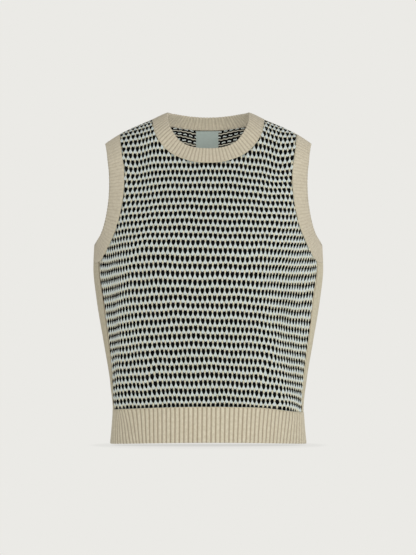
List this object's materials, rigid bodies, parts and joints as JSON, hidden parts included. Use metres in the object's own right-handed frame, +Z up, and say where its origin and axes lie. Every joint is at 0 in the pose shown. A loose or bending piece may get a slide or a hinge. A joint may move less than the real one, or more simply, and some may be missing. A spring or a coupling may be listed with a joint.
{
  "type": "knit vest filled out with no wearer",
  "caption": "Sleeveless round-neck knit vest in an allover dotted three-colour pattern, with plain cream side panels and ribbed neck, arm and hem bands.",
  "frame": {"origin": "midway between the two high shoulder points, where a wearer's shoulders hold the vest up", "axes": "+Z up, the front faces -Y, +X is to the right of someone who looks at the front"},
  "size_m": [0.3682, 0.2289, 0.5304],
  "materials": {
    "pattern_knit": "matte wool knit: black, mint and cream stitches in rows",
    "cream_rib": "matte cream wool rib",
    "woven_label": "smooth woven tape, bare"
  },
  "bodies": {
    "root": {"armband_left": "cream_rib", "armband_right": "cream_rib", "back": "pattern_knit", "front": "pattern_knit", "hem_back": "cream_rib", "hem_front": "cream_rib", "label": "woven_label", "neckband": "cream_rib", "side_panel_left": "cream_rib", "side_panel_right": "cream_rib"}
  },
  "joints": []
}
